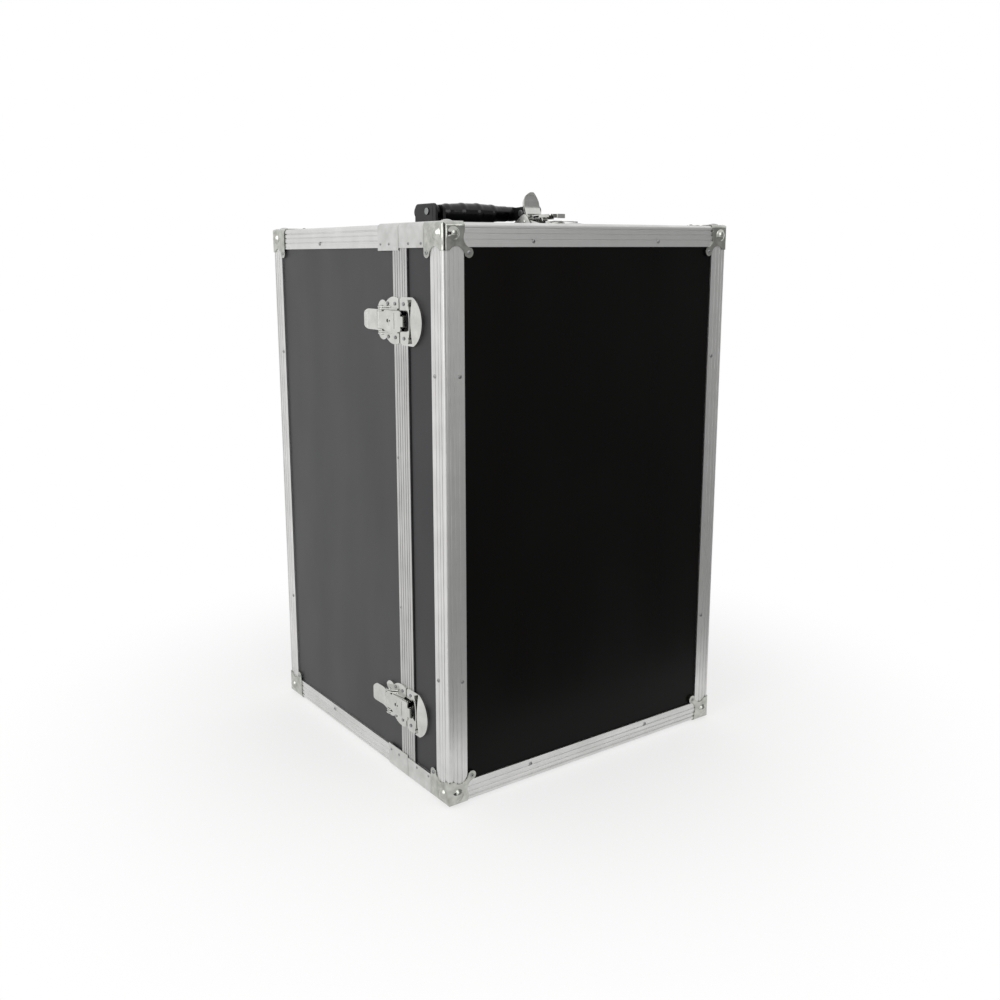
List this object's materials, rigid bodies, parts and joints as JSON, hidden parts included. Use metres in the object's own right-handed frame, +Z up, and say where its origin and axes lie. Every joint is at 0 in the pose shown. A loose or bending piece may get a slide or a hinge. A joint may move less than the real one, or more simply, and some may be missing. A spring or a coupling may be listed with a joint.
{
  "type": "portable dental unit",
  "caption": "Upright aluminium-edged case with a hinged front cover, draw latches and a folding handle, holding a compressor, bottles and a dental control panel.",
  "frame": {"origin": "centre of the case's footprint, on the floor", "axes": "+Z up, -Y the front cover, +X the hinge side"},
  "size_m": [0.4312, 0.412, 0.6822],
  "materials": {
    "black_laminate": "satin",
    "aluminium_trim": "satin",
    "plated_steel": "polished",
    "zinc_rivet": "satin",
    "handle_plastic": "semi-gloss",
    "black_plastic": "satin",
    "seal_foam": "matt",
    "panel_paint": "satin",
    "shelf_steel": "satin",
    "gauge_white": "matt",
    "clear_lens": "polished",
    "needle_red": "satin",
    "rocker_red": "gloss",
    "knob_blue": "satin",
    "knob_green": "satin",
    "valve_brass": "satin",
    "bottle_clear": "gloss",
    "cap_blue": "satin",
    "cap_grey": "satin",
    "rack_white": "satin",
    "pedal_grey": "satin",
    "motor_paint": "satin",
    "cast_alloy": "cast",
    "mount_rubber": "matt",
    "tank_paint": "gloss"
  },
  "bodies": {
    "case_body": {"left_wall": "black_laminate", "right_wall": "black_laminate", "top_wall": "black_laminate", "bottom_wall": "black_laminate", "back_wall": "black_laminate", "body_trims": "aluminium_trim", "body_rim": "aluminium_trim", "body_corners": "plated_steel", "body_braces": "plated_steel", "body_rivets": "zinc_rivet", "hinge_body_leaves": "plated_steel", "hinge_pins": "zinc_rivet", "latch_bases": "plated_steel", "handle_brackets": "handle_plastic", "handle_pins": "plated_steel", "fascia": "panel_paint", "shelf": "shelf_steel", "bulkhead": "shelf_steel", "gauge_case": "plated_steel", "gauge_dial": "gauge_white", "gauge_lens": "clear_lens", "switch_frame": "black_plastic", "valve_bodies": "valve_brass", "outlets": "plated_steel", "handpiece_rack": "rack_white", "bottle_cap": "cap_blue", "waste_bottle": "bottle_clear", "waste_cap": "cap_grey", "pedal_base": "pedal_grey", "compressor_motor": "motor_paint", "compressor_head": "cast_alloy", "compressor_mounts": "mount_rubber", "air_tank": "tank_paint", "power_inlet": "black_plastic", "fan_frame": "black_plastic", "fan_guard": "zinc_rivet"},
    "cover": {"cover_panel": "black_laminate", "cover_boards": "black_laminate", "cover_trims": "aluminium_trim", "cover_rim": "aluminium_trim", "cover_seal": "seal_foam", "cover_corners": "plated_steel", "cover_braces": "plated_steel", "cover_rivets": "zinc_rivet", "hinge_cover_leaves": "plated_steel", "latch_keepers": "plated_steel"},
    "upper_latch_lever": {"upper_lever": "plated_steel"},
    "lower_latch_lever": {"lower_lever": "plated_steel"},
    "top_latch_lever": {"top_lever": "plated_steel"},
    "upper_latch_hook": {"upper_hook": "plated_steel"},
    "lower_latch_hook": {"lower_hook": "plated_steel"},
    "top_latch_hook": {"top_hook": "plated_steel"},
    "grip": {"handle_grip": "handle_plastic"},
    "needle": {"gauge_needle": "needle_red"},
    "rocker": {"power_rocker": "rocker_red"},
    "water_control": {"water_knob": "knob_blue"},
    "air_control": {"air_knob": "knob_green"},
    "clean_water": {"water_bottle": "bottle_clear"},
    "pedal": {"pedal_plate": "black_plastic"},
    "fan": {"fan_rotor": "black_plastic"}
  },
  "joints": [
    {"name": "cover_hinge", "type": "hinge", "parent": "case_body", "child": "cover", "pos_m": [0.2109, -0.117, 0.3226], "axis": [0, 0, 1], "range_deg": [0, 180]},
    {"name": "upper_latch", "type": "hinge", "parent": "case_body", "child": "upper_latch_lever", "pos_m": [-0.2129, -0.087, 0.5396], "axis": [0, 0, 1], "range_deg": [0, 105]},
    {"name": "lower_latch", "type": "hinge", "parent": "case_body", "child": "lower_latch_lever", "pos_m": [-0.2129, -0.087, 0.0906], "axis": [0, 0, 1], "range_deg": [0, 105]},
    {"name": "top_latch", "type": "hinge", "parent": "case_body", "child": "top_latch_lever", "pos_m": [0, -0.087, 0.648], "axis": [1, 0, 0], "range_deg": [-76, 29]},
    {"name": "upper_hook_swing", "type": "hinge", "parent": "upper_latch_lever", "child": "upper_latch_hook", "pos_m": [-0.2129, -0.081, 0.5396], "axis": [0, 0, 1], "range_deg": [-105, 0]},
    {"name": "lower_hook_swing", "type": "hinge", "parent": "lower_latch_lever", "child": "lower_latch_hook", "pos_m": [-0.2129, -0.081, 0.0906], "axis": [0, 0, 1], "range_deg": [-105, 0]},
    {"name": "top_hook_swing", "type": "hinge", "parent": "top_latch_lever", "child": "top_latch_hook", "pos_m": [0, -0.08555, 0.65382], "axis": [1, 0, 0], "range_deg": [-29, 76]},
    {"name": "handle_fold", "type": "hinge", "parent": "case_body", "child": "grip", "pos_m": [0, 0.022, 0.6626], "axis": [1, 0, 0], "range_deg": [0, 90]},
    {"name": "gauge_needle_turn", "type": "hinge", "parent": "case_body", "child": "needle", "pos_m": [-0.1162, -0.085, 0.54754], "axis": [0, 1, 0], "range_deg": [0, 270]},
    {"name": "power_switch", "type": "hinge", "parent": "case_body", "child": "rocker", "pos_m": [0.1245, -0.084, 0.54754], "axis": [1, 0, 0], "range_deg": [-18, 0]},
    {"name": "water_valve", "type": "hinge", "parent": "case_body", "child": "water_control", "pos_m": [-0.02075, -0.085, 0.54754], "axis": [0, 1, 0], "range_deg": [0, 270]},
    {"name": "air_valve", "type": "hinge", "parent": "case_body", "child": "air_control", "pos_m": [0.0415, -0.085, 0.54754], "axis": [0, 1, 0], "range_deg": [0, 270]},
    {"name": "water_bottle_turn", "type": "hinge", "parent": "case_body", "child": "clean_water", "pos_m": [-0.12865, -0.05, 0.2026], "axis": [0, 0, 1], "range_deg": [0, 120]},
    {"name": "pedal_press", "type": "slide", "parent": "case_body", "child": "pedal", "axis": [0, 0, -1], "range_m": [0, 0.004], "stiffness_N_per_m": 800, "springref_m": -0.004},
    {"name": "fan_spin", "type": "hinge", "parent": "case_body", "child": "fan", "pos_m": [0.11, 0.183, 0.0926], "axis": [0, 1, 0], "continuous": true}
  ],
  "couplings": [
    {"joint": "upper_hook_swing", "follows": "upper_latch", "ratio": -1},
    {"joint": "lower_hook_swing", "follows": "lower_latch", "ratio": -1},
    {"joint": "top_hook_swing", "follows": "top_latch", "ratio": -1}
  ]
}
